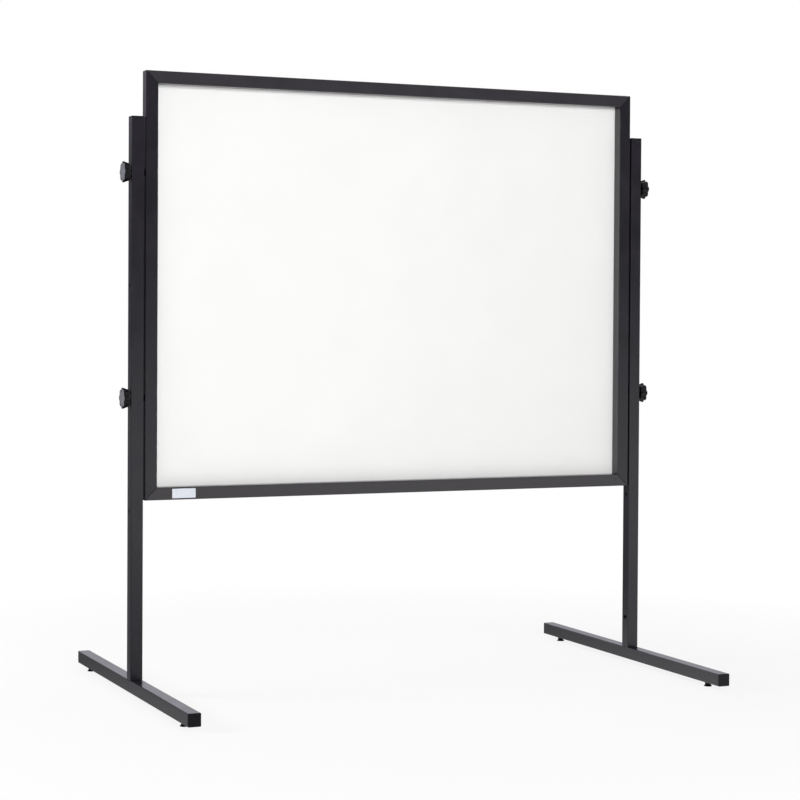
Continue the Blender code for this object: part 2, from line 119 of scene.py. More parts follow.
def coat(name, dark, light):
    """Powder coat that drifts between two tones."""
    material, tree, shader, place = finish(name, {"IOR": COAT_IOR})
    drift = add(tree, "ShaderNodeTexNoise", {"Vector": place, "Scale": 1 / DRIFT_WIDTH}).outputs["Fac"]
    peel = add(tree, "ShaderNodeTexNoise", {"Vector": place, "Scale": 1 / PEEL_WIDTH}).outputs["Fac"]
    tones = {0: drift, 6: linear(dark), 7: linear(light)}
    black = add(tree, "ShaderNodeMix", tones, data_type="RGBA")
    range_of_gloss = {"Value": drift, "To Min": COAT_ROUGHNESS[0], "To Max": COAT_ROUGHNESS[1]}
    gloss = add(tree, "ShaderNodeMapRange", range_of_gloss)
    bump = add(tree, "ShaderNodeBump", {"Height": peel, "Distance": PEEL_DEPTH})
    tree.links.new(black.outputs[2], shader.inputs["Base Color"])
    tree.links.new(gloss.outputs["Result"], shader.inputs["Roughness"])
    tree.links.new(bump.outputs["Normal"], shader.inputs["Normal"])
    print("finish", name)
    return material


# Violet black: long soft reflections along each tube, a little wavy close up.
powder_coat = coat("powder_coated_steel", "#151318", "#1e1b24")
# A shade greyer as painted light: the rails' brighter reflections painted into their colour, which
# lifts them a little off the stiles.
rail_coat_painted_lighter = coat("powder_coated_rail_steel_painted_lighter", "#2d2a2e", "#353237")

# %% [markdown]
# ## One recipe for plastics and metals
# Moulded plastic and plated metal look alike in one way: cloudy patches between two tones, and a fine
# grain that sets both the gloss and the relief. Each could have its own network, but one recipe with
# its sizes in metres serves them all, and a new finish is then one line of real measures.

# %% Recipe for plastics and metals
PLASTIC = {"IOR": 1.49, "Specular IOR Level": 0.35}
METAL = {"Metallic": 1.0}  # its base colour is the colour of its reflections
CLOUD_DETAIL = 4.0


def clouded(name, dark, light, cloud, rough, grit, depth, constants):
    """Tones in patches of cloud metres; roughness and relief from a grain of grit metres."""
    material, tree, shader, place = finish(name, constants)
    patches = {"Vector": place, "Scale": 1 / cloud, "Detail": CLOUD_DETAIL}
    patch = add(tree, "ShaderNodeTexNoise", patches).outputs["Fac"]
    grain = add(tree, "ShaderNodeTexNoise", {"Vector": place, "Scale": 1 / grit}).outputs["Fac"]
    tones = {0: patch, 6: linear(dark), 7: linear(light)}
    tone = add(tree, "ShaderNodeMix", tones, data_type="RGBA")
    range_of_gloss = {"Value": grain, "To Min": rough[0], "To Max": rough[1]}
    gloss = add(tree, "ShaderNodeMapRange", range_of_gloss)
    bump = add(tree, "ShaderNodeBump", {"Height": grain, "Distance": depth})
    tree.links.new(tone.outputs[2], shader.inputs["Base Color"])
    tree.links.new(gloss.outputs["Result"], shader.inputs["Roughness"])
    tree.links.new(bump.outputs["Normal"], shader.inputs["Normal"])
    print("finish", name)
    return material


# Caps, spacers and corner connectors: a spark-eroded grain, duller and blacker than the tubes.
cap_plastic = clouded(
    "moulded_polypropylene", "#08080c", "#121117",
    cloud=0.012, rough=(0.30, 0.50), grit=0.0007, depth=0.00003, constants=PLASTIC,
)

# %% [markdown]
# ## Nylon of the knobs and pads
# The knobs are moulded in glass-filled nylon. Hands and the mould's polish leave the rim black and
# shiny, while the outer face keeps a grain, so it scatters the side light. Its mid grey colour is
# painted light for the side light on the face, while its grain is real. That takes two finishes on
# one knob. The pads under the feet are plain nylon, dull from the floor.

# %% Nylon of the knobs and pads
# Polished black: dark flanks with a few thin bright lines on the lobes.
knob_nylon = clouded(
    "polished_glass_filled_nylon", "#060607", "#0d0d0f",
    cloud=0.010, rough=(0.12, 0.24), grit=0.0008, depth=0.00001, constants=PLASTIC,
)
# Grained, with a painted highlight: a mid grey painted on the face for the side light, which sets the
# face off from its rim.
knob_face_painted_lit = clouded(
    "spark_grained_glass_filled_nylon_painted_lit", "#5a5a60", "#6e6e75",
    cloud=0.010, rough=(0.52, 0.66), grit=0.0008, depth=0.00003, constants=PLASTIC,
)
# Dull black: hardly any highlight, so the pads stay quiet in the shade under the feet.
glide_nylon = clouded(
    "black_nylon", "#08080a", "#101013",
    cloud=0.010, rough=(0.40, 0.60), grit=0.0006, depth=0.00003, constants=PLASTIC,
)

# %% [markdown]
# ## Small metal parts
# Washers and studs are bright zinc plate. Foot screws, rivet nuts and glide stems are blackened in a
# hot oxide bath, which leaves the steel's gloss but takes its brightness. Press studs on cloth are
# brass with a nickel plate, because they must not rust into the hem.

# %% Small metal parts
# Bluish grey with cloudy crystals: a cool glint between knob and post.
zinc_plate = clouded(
    "zinc_plated_steel", "#9ea3a9", "#cdd0d4",
    cloud=0.004, rough=(0.22, 0.42), grit=0.0006, depth=0.00001, constants=METAL,
)
# Near black with a metal's sheen: the heads show as dark dots with one small highlight.
black_oxide = clouded(
    "black_oxide_steel", "#161619", "#2b2b2f",
    cloud=0.003, rough=(0.28, 0.48), grit=0.0005, depth=0.00001, constants=METAL,
)
# Warm silver: clearly brighter and smoother than the zinc, as a row of sparks along the hem.
nickel = clouded(
    "nickel_plated_brass", "#b4b0a6", "#d6d3cb",
    cloud=0.005, rough=(0.14, 0.30), grit=0.0006, depth=0.00001, constants=METAL,
)

# %% [markdown]
# ## Screen cloth
# The sheet is woven polyester under a matt white PVC coat. The weave shows through the coat as a grid
# of threads so fine that the surface has no glare, which is what a projector needs. Two crossed sets
# of waves make the weave, drawn at about twice its real size so that it shows close up. The hem
# tape is coarser and the thread of its seam a slightly warmer white.

# %% Screen cloth
WAVE_LENGTH = math.pi / 10  # a wave of scale 1 repeats about this often along its direction
CLOTH_CLOUD = 0.15  # faint differences in the coat, a hand's width across
CLOTH_ROUGHNESS = (0.92, 0.78)  # in the hollows, and on top of the threads
CLOTH = {"Specular IOR Level": 0.2}


def woven(name, dark, light, thread, depth):
    """Cloth with threads that many metres apart, and faint clouds between two whites."""
    material, tree, shader, place = finish(name, CLOTH)
    waves = {"Vector": place, "Scale": WAVE_LENGTH / thread}
    warp = add(tree, "ShaderNodeTexWave", waves, bands_direction="X").outputs["Fac"]
    weft = add(tree, "ShaderNodeTexWave", waves, bands_direction="Z").outputs["Fac"]
    weave = add(tree, "ShaderNodeMath", {0: warp, 1: weft}, operation="MULTIPLY").outputs[0]
    cloud = add(tree, "ShaderNodeTexNoise", {"Vector": place, "Scale": 1 / CLOTH_CLOUD}).outputs["Fac"]
    whites = {0: cloud, 6: linear(dark), 7: linear(light)}
    white = add(tree, "ShaderNodeMix", whites, data_type="RGBA")
    range_of_matt = {"Value": weave, "To Min": CLOTH_ROUGHNESS[0], "To Max": CLOTH_ROUGHNESS[1]}
    matt = add(tree, "ShaderNodeMapRange", range_of_matt)
    bump = add(tree, "ShaderNodeBump", {"Height": weave, "Distance": depth})
    tree.links.new(white.outputs[2], shader.inputs["Base Color"])
    tree.links.new(matt.outputs["Result"], shader.inputs["Roughness"])
    tree.links.new(bump.outputs["Normal"], shader.inputs["Normal"])
    print("finish", name)
    return material


# An even, glare-free white from any side.
screen_cloth = woven("matt_coated_screen_cloth", "#f4f4f3", "#f9f9f8", thread=0.0010, depth=0.00002)
# A shade greyer and visibly ribbed, so that the border stands out from the cloth.
hem_tape = woven("woven_hem_tape", "#ebebe8", "#f3f3f0", thread=0.0016, depth=0.00008)
# Warmer than the tape, so that the seam can be followed by eye.
hem_thread = woven("polyester_thread", "#e2e1da", "#efeee8", thread=0.0005, depth=0.00003)

# %% [markdown]
# ## Finishes on the imported nodes
# The imported record names a material slot for each node. Finishes could be given node by node, but a
# table from slot to finish says the same in a few lines, and no node can be forgotten. Only the two
# rails are named, for their coat that is painted greyer as painted light.

# %% Finishes on the imported nodes
FINISH_OF_SLOT = {
    "coated_tube": powder_coat,
    "moulded_plastic": cap_plastic,
    "zinc_steel": zinc_plate,
    "black_steel": black_oxide,
    "screen_sheet": screen_cloth,
    "glide_plastic": glide_nylon,
}
RAILS = ("frame_top_rail", "frame_bottom_rail")
for name, node in nodes.items():
    node.data.materials.clear()
    # The rails get the coat that is painted greyer for their brighter reflections.
    node.data.materials.append(rail_coat_painted_lighter if name in RAILS else FINISH_OF_SLOT[slot_of[name]])
print("finishes on", len(nodes), "nodes")

# %% [markdown]
# ## Outline of a star knob
# A star knob has a round head with eight shallow scallops for the fingers. Scallops could be cut out
# one by one, but the cuts leave slivers that no bevel can round. So the outline is worked out first:
# at each angle it is the full circle, or the near side of a scallop's own circle. Averaging it over
# a small angle takes the sharpness off the crests.

# %% Outline of a star knob
KNOB_RADIUS = 0.025
LOBES = 8
SCALLOP_RADIUS = 0.0065
SCALLOP_DEPTH = 0.0036
SCALLOP_CENTRE = KNOB_RADIUS - SCALLOP_DEPTH + SCALLOP_RADIUS
BLEND_ANGLES = (-0.06, -0.03, 0, 0.03, 0.06)


def scalloped(angle):
    """The radius at an angle, with sharp crests."""
    step = 2 * math.pi / LOBES
    off = angle % step - step / 2
    reach = SCALLOP_RADIUS**2 - (SCALLOP_CENTRE * math.sin(off)) ** 2
    if reach <= 0:
        return KNOB_RADIUS
    return min(KNOB_RADIUS, SCALLOP_CENTRE * math.cos(off) - math.sqrt(reach))


def lobed(angle):
    """The radius at an angle, with soft crests."""
    return sum(scalloped(angle + turn) for turn in BLEND_ANGLES) / len(BLEND_ANGLES)


print("crest", round(lobed(0), 4), "m, scallop", round(lobed(math.pi / LOBES), 4), "m from the axis")

# %% [markdown]
# ## Adding and shaping a primitive
# New pieces are made the way a hand would make them: a primitive is added at its size, shaped in edit
# mode and finished with modifiers. Operators work on whatever is selected, so each step first clears
# the selection. Nearly all pieces here are turned or moulded round an axis, so most start as a
# cylinder along Z, and grow by extruding an end face that is picked by its direction.

# %% Adding and shaping a primitive
def only(piece):
    """Makes one piece the whole selection, and the active one."""
    bpy.ops.object.select_all(action="DESELECT")
    piece.select_set(True)
    bpy.context.view_layer.objects.active = piece


def fresh(name, material=None, size=(1, 1, 1)):
    """Names the primitive that was just added, and settles its size and place in its mesh."""
    piece = bpy.context.active_object
    piece.name = name
    piece.data.name = name
    piece.scale = size
    only(piece)
    bpy.ops.object.transform_apply(location=True, rotation=True, scale=True)
    if material:
        piece.data.materials.append(material)
    return piece


def cylinder(name, radius, low, high, sides=48, material=None):
    """A cylinder round the Z axis between two heights."""
    bpy.ops.object.select_all(action="DESELECT")
    bpy.ops.mesh.primitive_cylinder_add(
        vertices=sides, radius=radius, depth=high - low, location=(0, 0, (low + high) / 2)
    )
    return fresh(name, material)


def pick_faces(piece, direction, limit=0.99):
    """Goes into edit mode with only the faces selected that point in that direction."""
    only(piece)
    bpy.ops.object.mode_set(mode="EDIT")
    bpy.ops.mesh.select_mode(type="FACE")
    bpy.ops.mesh.select_all(action="DESELECT")
    bpy.ops.object.mode_set(mode="OBJECT")
    for face in piece.data.polygons:
        face.select = face.normal.dot(Vector(direction)) > limit
    bpy.ops.object.mode_set(mode="EDIT")


def extrude(rise, width=1.0):
    """Extrudes the selected end face along Z, and brings it to a share of its width."""
    bpy.ops.mesh.extrude_region_move(TRANSFORM_OT_translate={"value": (0, 0, rise)})
    if width != 1.0:
        bpy.ops.transform.resize(value=(width, width, 1))


KNOB_LOW = 0.0030  # heights above the post's face
KNOB_TOP = 0.0186
KNOB_EDGE = 0.0022  # radius of its rounded edges
POINTS_PER_LOBE = 20
knob = cylinder(
    "knob_model",
    KNOB_RADIUS,
    KNOB_LOW + KNOB_EDGE,
    KNOB_TOP - KNOB_EDGE,
    sides=POINTS_PER_LOBE * LOBES,
    material=knob_nylon,
)
print("knob blank with", len(knob.data.vertices), "points")

# %% [markdown]
# ## Head of a star knob
# The points of the blank are pulled in to the outline, and a little more at the end near the post,
# because the mould has to let go of it. Its end faces are then extruded in small steps, each a little
# narrower, which rounds the edges and dishes the outer face. A subdivision surface could round it
# too, but would swallow the crests between the scallops.

# %% Head of a star knob
KNOB_TAPER = 0.84  # width near the post, as a share of the width at the outer face
EDGE_ANGLES = (0, 0.4, 0.8, 1.2, math.pi / 2)
DISH_DEPTH = 0.0006
DISH_RIM = (0.86, 0.78)  # widths of the flat rim, as shares of the head's
DISH_FLOOR = (0.77, 0.70)
FACE_LIMIT = 0.90  # what points outwards to within about 25 degrees has the grained finish painted grey for the side light
SMOOTH_ANGLE = 30


def draw_in(piece, direction, steps):
    """Extrudes an end face in steps of (height, width as a share of the full one)."""
    pick_faces(piece, direction)
    height, width = steps[0]
    for next_height, next_width in steps[1:]:
        extrude(direction[2] * (next_height - height), next_width / width)
        height, width = next_height, next_width
    bpy.ops.object.mode_set(mode="OBJECT")


def smooth(piece, angle=SMOOTH_ANGLE):
    """Shades a piece smooth, apart from edges sharper than that many degrees."""
    only(piece)
    bpy.ops.object.shade_smooth_by_angle(angle=math.radians(angle))


for vertex in knob.data.vertices:
    radius = lobed(math.atan2(vertex.co.y, vertex.co.x))
    taper = 1 if vertex.co.z > (KNOB_LOW + KNOB_TOP) / 2 else KNOB_TAPER
    vertex.co.x *= taper * radius / KNOB_RADIUS
    vertex.co.y *= taper * radius / KNOB_RADIUS
edge = [
    (KNOB_EDGE * math.sin(a), 1 - KNOB_EDGE / KNOB_RADIUS * (1 - math.cos(a))) for a in EDGE_ANGLES
]
dish = [(KNOB_EDGE, w) for w in DISH_RIM] + [(KNOB_EDGE - DISH_DEPTH, w) for w in DISH_FLOOR]
draw_in(knob, (0, 0, 1), edge + dish)
draw_in(knob, (0, 0, -1), edge)
# The outer face gets the grained nylon whose grey is painted light.
knob.data.materials.append(knob_face_painted_lit)
pick_faces(knob, (0, 0, 1), FACE_LIMIT)
knob.active_material_index = 1
bpy.ops.object.material_slot_assign()
bpy.ops.object.mode_set(mode="OBJECT")
smooth(knob)
print("knob head faces", len(knob.data.polygons))

# %% [markdown]
# ## Hub of a star knob
# A bright turned bush is moulded into the back of the knob and bears on the washer. Only a thin ring
# of it shows. A short cylinder whose edges are bevelled is enough, joined to the head, since the two
# never come apart.

# %% Hub of a star knob
HUB_RADIUS = 0.0085
HUB_LOW = 0.0021
HUB_SINK = 0.0010  # how far it reaches into the head
HUB_EDGE = 0.0005


def modify(piece, kind, **settings):
    """Adds a modifier with its settings, and applies it."""
    only(piece)
    modifier = piece.modifiers.new(kind.title(), kind)
    for name, value in settings.items():
        setattr(modifier, name, value)
    bpy.ops.object.modifier_apply(modifier=modifier.name)


def soften(piece, width, segments=2, angle=35):
    """Rounds the edges sharper than that many degrees, then shades the rest smooth."""
    modify(
        piece,
        "BEVEL",
        width=width,
        segments=segments,
        limit_method="ANGLE",
        angle_limit=math.radians(angle),
        use_clamp_overlap=True,
    )
    smooth(piece, angle)


def join(first, *others):
    """Joins pieces into the first one."""
    bpy.ops.object.select_all(action="DESELECT")
    for piece in (first, *others):
        piece.select_set(True)
    bpy.context.view_layer.objects.active = first
    bpy.ops.object.join()
    return first


hub = cylinder("hub", HUB_RADIUS, HUB_LOW, KNOB_LOW + HUB_SINK, sides=64, material=zinc_plate)
soften(hub, HUB_EDGE)
knob = join(knob, hub)
print("knob faces with the hub", len(knob.data.polygons))

# %% [markdown]
# ## Four knobs in place
# All four knobs are alike, so the one model is copied, and each copy has its place written into a mesh
# of its own. A knob points outwards from its post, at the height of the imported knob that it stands
# for, and moves with that knob's body.

# %% Four knobs in place
SIDES = {"left": -1, "right": 1}
ROWS = ("upper", "lower")


def copy_of(piece, name, matrix):
    """A copy with its own mesh, moved by a matrix."""
    twin = piece.copy()
    twin.data = piece.data.copy()
    twin.name = name
    twin.data.name = name
    twin.data.transform(matrix)
    bpy.context.scene.collection.objects.link(twin)
    return twin


def outward(side, node):
    """Places a piece modelled along Z on a post's outer face, at a node's height, pointing outwards."""
    way = SIDES[side]
    low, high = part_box(f"{side}_post")
    face = high.x if way > 0 else low.x
    clamp_low, clamp_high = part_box(node)
    height = (clamp_low.z + clamp_high.z) / 2
    return Matrix.Translation((face, 0, height)) @ Matrix.Rotation(way * math.pi / 2, 4, "Y")


for side in SIDES:
    for row in ROWS:
        node = f"{side}_{row}_knob"
        piece = copy_of(knob, f"{side}_{row}_star_knob", outward(side, node))
        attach(piece, f"{side}_{row}_clamp_knob")
        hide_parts(node)
bpy.data.objects.remove(knob)
print("star knobs", len(SIDES) * len(ROWS))

# %% [markdown]
# ## Threads
# The studs and the glide stems are M8 screws. At rest their threads are hidden, but a knob that is
# unscrewed shows a finger's width of one. A thread is a triangular ridge wound round a core: a
# three-sided profile goes round the axis with the Screw modifier, and climbs one pitch a turn.

# %% Threads
PITCH = 0.00125
CORE_RADIUS = 0.0034
CREST_RADIUS = 0.0040
ROD_EDGE = 0.0006
RIDGE_SINK = 0.0001  # the foot of the ridge lies this far inside the core
RIDGE_HALF_WIDTH = 0.42  # of a pitch, which leaves a narrow root between two turns
TURN_STEPS = 28
PLAIN_TURNS = 2  # turns without a ridge, one at each end


def threaded_rod(name, low, high, material):
    """A core along Z between two heights, with a thread wound round it."""
    core = cylinder(name, CORE_RADIUS, low, high, sides=32, material=material)
    soften(core, ROD_EDGE)
    foot = CORE_RADIUS - RIDGE_SINK
    reach = (CREST_RADIUS - foot) / 1.5  # a three-sided circle stands one and a half radii high
    spread = RIDGE_HALF_WIDTH * PITCH / math.sin(math.pi / 3)
    bpy.ops.object.select_all(action="DESELECT")
    bpy.ops.mesh.primitive_circle_add(vertices=3, radius=1)
    ridge = fresh("ridge", material, (spread, reach, 1))
    # The triangle is stood on end, with its tip away from the axis.
    on_end = Matrix(((0, 1, 0, 0), (0, 0, 1, 0), (1, 0, 0, 0), (0, 0, 0, 1)))
    ridge.data.transform(Matrix.Translation((foot + reach / 2, 0, low + PITCH)) @ on_end)
    modify(
        ridge,
        "SCREW",
        axis="Z",
        angle=2 * math.pi,
        screw_offset=PITCH,
        iterations=int((high - low) / PITCH) - PLAIN_TURNS,
        steps=TURN_STEPS,
        render_steps=TURN_STEPS,
    )
    only(ridge)
    bpy.ops.object.mode_set(mode="EDIT")
    bpy.ops.mesh.select_all(action="SELECT")
    bpy.ops.mesh.fill_holes(sides=3)
    bpy.ops.mesh.normals_make_consistent(inside=False)
    bpy.ops.object.mode_set(mode="OBJECT")
    return join(core, ridge)


STUD_TOP = 0.0118
STUD_END = -0.046
stud = threaded_rod("stud_model", STUD_END, STUD_TOP, zinc_plate)
for side in SIDES:
    for row in ROWS:
        node = f"{side}_{row}_stud"
        piece = copy_of(stud, f"{side}_{row}_threaded_stud", outward(side, node))
        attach(piece, f"{side}_{row}_clamp_knob")
        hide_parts(node)
print("stud faces", len(stud.data.polygons))
bpy.data.objects.remove(stud)

# %% [markdown]
# ## Pad of a glide
# Each glide is a nylon pad that swivels on a disc at the lower end of a threaded stem. The pad flares
# out to the floor. It could be turned from a profile, but a cylinder whose upper face is extruded and
# drawn in twice gives the same flare. Its edges are rounded, and a socket is cut out for the disc.

# %% Pad of a glide
pad_low, pad_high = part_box("left_front_glide_pad")
stem_low, stem_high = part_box("left_front_glide_stem")
PAD_RADIUS = (pad_high.x - pad_low.x) / 2
PAD_TOP = pad_high.z
PAD_RIM = 0.0016  # height of the straight rim on the floor
PAD_SLOPE = 0.0018  # height of the slope above it
SLOPE_WIDTH = 0.78  # width at the top of the slope, as a share of the rim's
COLLAR_WIDTH = 0.89  # width at the top of the collar, as a share of the slope's
COLLAR_WALL = 0.0028
COLLAR_DEPTH = 0.0018
PAD_EDGE = 0.0004
DISC_RADIUS = 0.0050
DISC_TOP = 0.0031
PLAY = 0.0003


def carve(piece, tool):
    """Cuts a tool out of a piece, and removes the tool."""
    modify(piece, "BOOLEAN", operation="DIFFERENCE", object=tool, solver="EXACT")
    bpy.data.objects.remove(tool)


pad = cylinder("pad_model", PAD_RADIUS, 0, PAD_RIM, sides=64, material=glide_nylon)
pick_faces(pad, (0, 0, 1))
extrude(PAD_SLOPE, SLOPE_WIDTH)
extrude(PAD_TOP - PAD_RIM - PAD_SLOPE, COLLAR_WIDTH)
bpy.ops.mesh.inset(thickness=COLLAR_WALL)
extrude(-COLLAR_DEPTH)
bpy.ops.object.mode_set(mode="OBJECT")
soften(pad, PAD_EDGE, angle=30)
carve(pad, cylinder("socket", DISC_RADIUS + PLAY, stem_low.z - PLAY, DISC_TOP + PLAY))
print("pad faces", len(pad.data.polygons))

# %% [markdown]
# ## Stem of a glide
# The stem is a threaded rod with a hexagon for a spanner, and a neck and a disc below it that hold the
# pad. The hexagon is a six-sided cylinder with its corners taken off by a bevel. The disc is the end
# of the neck, widened on the spot and extruded down.

# %% Stem of a glide
HEX_LOW = PAD_TOP + PLAY
HEX_HIGH = 0.0094
HEX_ACROSS = 0.013  # between flats, for a 13 mm spanner
HEX_EDGE = 0.0004
NECK_RADIUS = 0.0035
OVERLAP = 0.001  # how far rod and neck reach into the hexagon

stem = threaded_rod("stem_model", HEX_HIGH - OVERLAP, stem_high.z, black_oxide)
hexagon = cylinder(
    "hexagon", HEX_ACROSS / math.sqrt(3), HEX_LOW, HEX_HIGH, sides=6, material=black_oxide
)
soften(hexagon, HEX_EDGE)
neck = cylinder("neck", NECK_RADIUS, DISC_TOP, HEX_LOW + OVERLAP, sides=32, material=black_oxide)
pick_faces(neck, (0, 0, -1))
extrude(0, DISC_RADIUS / NECK_RADIUS)
extrude(stem_low.z - DISC_TOP)
bpy.ops.object.mode_set(mode="OBJECT")
stem = join(stem, hexagon, neck)
print("stem faces", len(stem.data.polygons))

# %% [markdown]
# ## Four glides in place
# A pad slides without turning while its stem turns, so the two are separate pieces on separate bodies.
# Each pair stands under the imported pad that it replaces.

# %% Four glides in place
ENDS = ("front", "rear")
for side in SIDES:
    for end in ENDS:
        low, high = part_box(f"{side}_{end}_glide_pad")
        spot = Matrix.Translation(((low.x + high.x) / 2, (low.y + high.y) / 2, 0))
        foot = copy_of(pad, f"{side}_{end}_glide_foot", spot)
        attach(foot, f"{side}_{end}_glide_foot")
        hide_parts(f"{side}_{end}_glide_pad")
        screw = copy_of(stem, f"{side}_{end}_glide_screw", spot)
        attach(screw, f"{side}_{end}_glide_screw")
        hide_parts(f"{side}_{end}_glide_stem")
bpy.data.objects.remove(pad)
bpy.data.objects.remove(stem)
print("glides", len(SIDES) * len(ENDS))

# %% [markdown]
# ## Foot screws
# A button-head screw holds each post on its foot. Its head is a low dome with a hexagon socket. A slice
# of a sphere would do, but its thin rim comes out sharp. A deep bevel makes the dome from a tapered
# cylinder instead, and a six-sided cylinder is cut out for the socket.

# %% Foot screws
ROOT = "frame_and_stands"
HEAD_RADIUS = 0.00525
HEAD_LOW = 0.0003  # heights above the post's face
HEAD_TOP = 0.0031
HEAD_TAPER = 0.82
DOME_EDGE = 0.0016
SOCKET_RADIUS = 0.0023
SOCKET_FLOOR = 0.0012
SOCKET_TOP = 0.0060  # above the head, so that the cut goes right through its top
SHANK_RADIUS = 0.0030
SHANK_END = -0.0100
SHANK_TOP = 0.0006

head = cylinder("screw_model", HEAD_RADIUS, HEAD_LOW, HEAD_TOP, material=black_oxide)
pick_faces(head, (0, 0, 1))
bpy.ops.transform.resize(value=(HEAD_TAPER, HEAD_TAPER, 1))
bpy.ops.object.mode_set(mode="OBJECT")
soften(head, DOME_EDGE, segments=5, angle=30)
carve(head, cylinder("socket", SOCKET_RADIUS, SOCKET_FLOOR, SOCKET_TOP, sides=6))
shank = cylinder("shank", SHANK_RADIUS, SHANK_END, SHANK_TOP, sides=32, material=black_oxide)
head = join(head, shank)
smooth(head)
for side, way in SIDES.items():
    low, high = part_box(f"{side}_post")
    screw_low, screw_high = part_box(f"{side}_foot_screw")
    face = low.x if way > 0 else high.x
    height = (screw_low.z + screw_high.z) / 2
    spot = Matrix.Translation((face, 0, height)) @ Matrix.Rotation(-way * math.pi / 2, 4, "Y")
    piece = copy_of(head, f"{side}_foot_button_screw", spot)
    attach(piece, ROOT)
    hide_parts(f"{side}_foot_screw")
print("foot screw faces", len(head.data.polygons))
bpy.data.objects.remove(head)

# %% [markdown]
# ## The cloth
# The cloth is stretched flat over the back of the frame by press studs along its edge. A simulation of
# so tight a cloth would hardly move it, so a formula does: a grid gives it enough points to draw back
# slightly between the fasteners, less and less towards the middle. Solidify gives it its thickness.

# %% The cloth
sheet_low, sheet_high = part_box("projection_sheet")
WIDTH = sheet_high.x - sheet_low.x
HEIGHT = sheet_high.z - sheet_low.z
MIDDLE = (sheet_low.z + sheet_high.z) / 2
CLOTH_FRONT = sheet_low.y
CLOTH_THICKNESS = 0.0006
CLOTH_SMOOTH_ANGLE = 40
SQUARES_ACROSS = 130  # about 10 mm each
SQUARES_UP = 100
STUDS_ACROSS = 14
STUDS_UP = 11
STUD_INSET = 0.012
PULL = 0.00012  # half of how far the edge draws back between two fasteners
PULL_FADE = 0.05


def hang(piece, depth):
    """Stands a piece modelled flat upright behind the frame, its upper side to the rear."""
    turn = Matrix.Rotation(-math.pi / 2, 4, "X")
    piece.data.transform(Matrix.Translation((0, depth, MIDDLE)) @ turn)


bpy.ops.object.select_all(action="DESELECT")
bpy.ops.mesh.primitive_grid_add(x_subdivisions=SQUARES_ACROSS, y_subdivisions=SQUARES_UP, size=1)
sheet = fresh("screen_cloth", screen_cloth, (WIDTH, HEIGHT, 1))
for vertex in sheet.data.vertices:
    x, y = vertex.co.x, vertex.co.y
    pull_x = math.cos(2 * math.pi * (STUDS_ACROSS - 1) * (x / (WIDTH - 2 * STUD_INSET) + 0.5))
    pull_y = math.cos(2 * math.pi * (STUDS_UP - 1) * (y / (HEIGHT - 2 * STUD_INSET) + 0.5))
    fade_x = math.exp(-(WIDTH / 2 - abs(x)) / PULL_FADE)
    fade_y = math.exp(-(HEIGHT / 2 - abs(y)) / PULL_FADE)
    vertex.co.z = PULL * ((1 - pull_x) * fade_y + (1 - pull_y) * fade_x)
modify(sheet, "SOLIDIFY", thickness=CLOTH_THICKNESS, offset=1.0)
smooth(sheet, CLOTH_SMOOTH_ANGLE)
hang(sheet, CLOTH_FRONT)
print("cloth", round(WIDTH, 4), "x", round(HEIGHT, 4), "m, faces", len(sheet.data.polygons))

# %% [markdown]
# ## The hem
# A folded tape along the edge stops the cloth from fraying and gives the fasteners a hold. Four strips
# would need mitres at the corners. A plane whose middle is inset and deleted leaves the whole border
# in one piece.

# %% The hem
HEM_WIDTH = 0.024
HEM_THICKNESS = 0.0012
HEM_MARGIN = 0.0003  # the cloth shows this much outside the tape
HEM_GAP = 0.0003  # clear of the cloth where it draws back
HEM_EDGE = 0.0004
HEM_FRONT = CLOTH_FRONT + CLOTH_THICKNESS + HEM_GAP
HEM_BACK = HEM_FRONT + HEM_THICKNESS

bpy.ops.object.select_all(action="DESELECT")
bpy.ops.mesh.primitive_plane_add(size=1)
hem = fresh("hem_tape", hem_tape, (WIDTH - 2 * HEM_MARGIN, HEIGHT - 2 * HEM_MARGIN, 1))
pick_faces(hem, (0, 0, 1))
bpy.ops.mesh.inset(thickness=HEM_WIDTH)
bpy.ops.mesh.delete(type="FACE")
bpy.ops.object.mode_set(mode="OBJECT")
modify(hem, "SOLIDIFY", thickness=HEM_THICKNESS, offset=1.0)
soften(hem, HEM_EDGE)
hang(hem, HEM_FRONT)
print("hem faces", len(hem.data.polygons))

# %% [markdown]
# ## Stitches
# One row of lockstitch holds the hem, about four millimetres a stitch. Each stitch is a little bead of
# thread. Hundreds of them placed one by one would be slow, so one is modelled and an Array repeats it
# along each edge. The four rows are then joined, so that the seam is one piece.

# %% Stitches
STITCH_PITCH = 0.0042
STITCH_INSET = 0.0205
STITCH_SIZE = (0.0016, 0.00032, 0.00025)  # half its length, width and height


def row_along(piece, name, start, step, count):
    """A row of copies of a piece as one mesh."""
    row = copy_of(piece, name, Matrix.Translation(start))
    modify(
        row,
        "ARRAY",
        count=count,
        use_relative_offset=False,
        use_constant_offset=True,
        constant_offset_displace=step,
    )
    return row


def round_the_edge(piece, name, inset, count_across, count_up):
    """Rows along the four edges, inset from them; the corners belong to the rows across."""
    half_w = WIDTH / 2 - inset
    half_h = HEIGHT / 2 - inset
    step_x = 2 * half_w / (count_across - 1)
    step_y = 2 * half_h / (count_up - 1)
    turned = copy_of(piece, name + "_turned", Matrix.Rotation(math.pi / 2, 4, "Z"))
    rows = [
        row_along(piece, name, (-half_w, -half_h, 0), (step_x, 0, 0), count_across),
        row_along(piece, name + "_top", (-half_w, half_h, 0), (step_x, 0, 0), count_across),
        row_along(turned, name + "_near", (-half_w, step_y - half_h, 0), (0, step_y, 0), count_up - 2),
        row_along(turned, name + "_far", (half_w, step_y - half_h, 0), (0, step_y, 0), count_up - 2),
    ]
    bpy.data.objects.remove(turned)
    return join(*rows)


